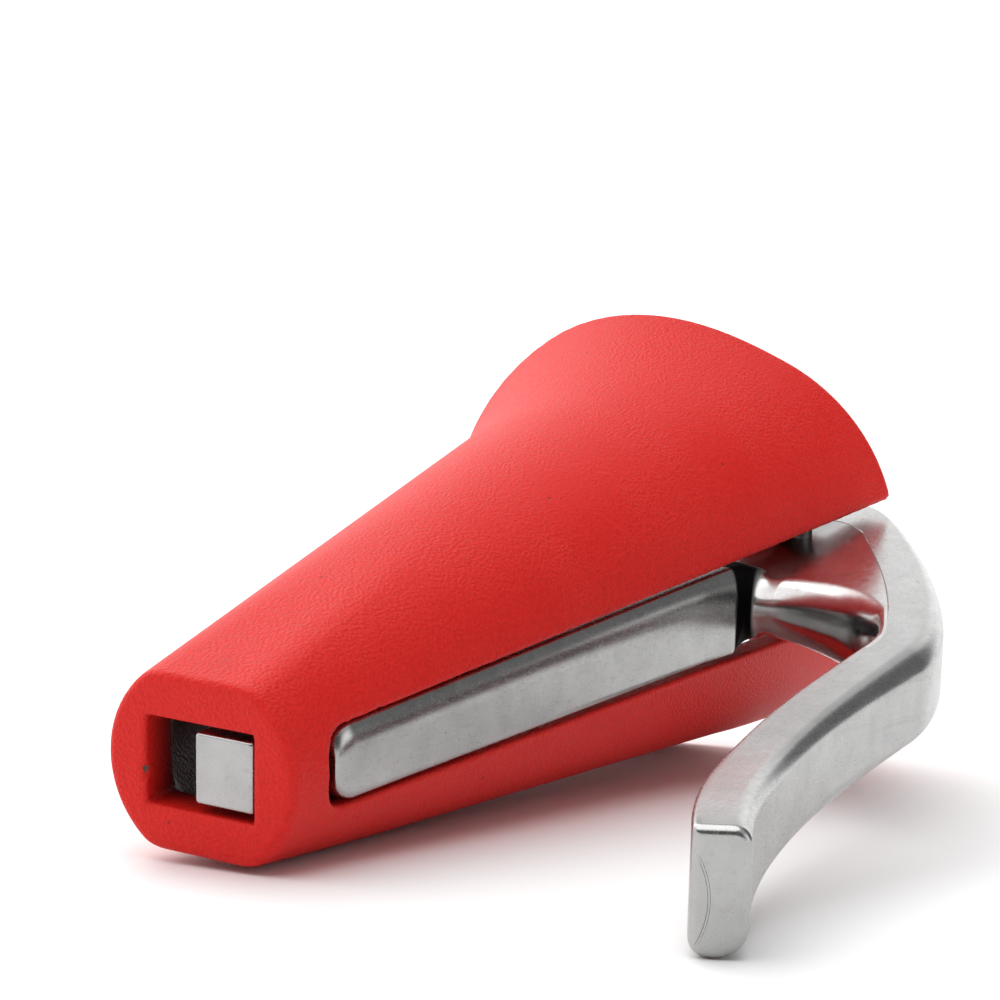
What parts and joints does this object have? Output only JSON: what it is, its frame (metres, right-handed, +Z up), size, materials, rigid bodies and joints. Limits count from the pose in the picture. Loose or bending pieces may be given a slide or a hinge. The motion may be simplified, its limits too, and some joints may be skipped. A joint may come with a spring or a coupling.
{
  "type": "funnel nutcracker pliers",
  "caption": "Red cast funnel with a side slot and a polished steel hairpin lever on a pivot pin; squeezing the handle swings the bar inwards to crack a nut held in the funnel.",
  "frame": {"origin": "on the lower flat of the funnel's narrow end, in the middle of its width and 22 mm from the narrow end face measured along the funnel's axis", "axes": "the tool lies on a table: +Z up, +X along the table from the narrow end to the mouth, -Y to the side that the slot and the handle are on"},
  "size_m": [0.1316, 0.0923, 0.0594],
  "materials": {
    "red_coat": "fine-grained satin powder coat on a casting",
    "lever_steel": "satin ground flats with a mirror-polished bend",
    "pin_steel": "ground dowel"
  },
  "bodies": {
    "funnel": {"funnel_body": "red_coat"},
    "lever": {"lever": "lever_steel", "pivot_pin": "pin_steel"}
  },
  "joints": [
    {"name": "lever_pivot", "type": "hinge", "parent": "funnel", "child": "lever", "pos_m": [0.08037, -0.02206, 0.02604], "axis": [0.1672, 0.0691, -0.9835], "range_deg": [0, 3]}
  ]
}
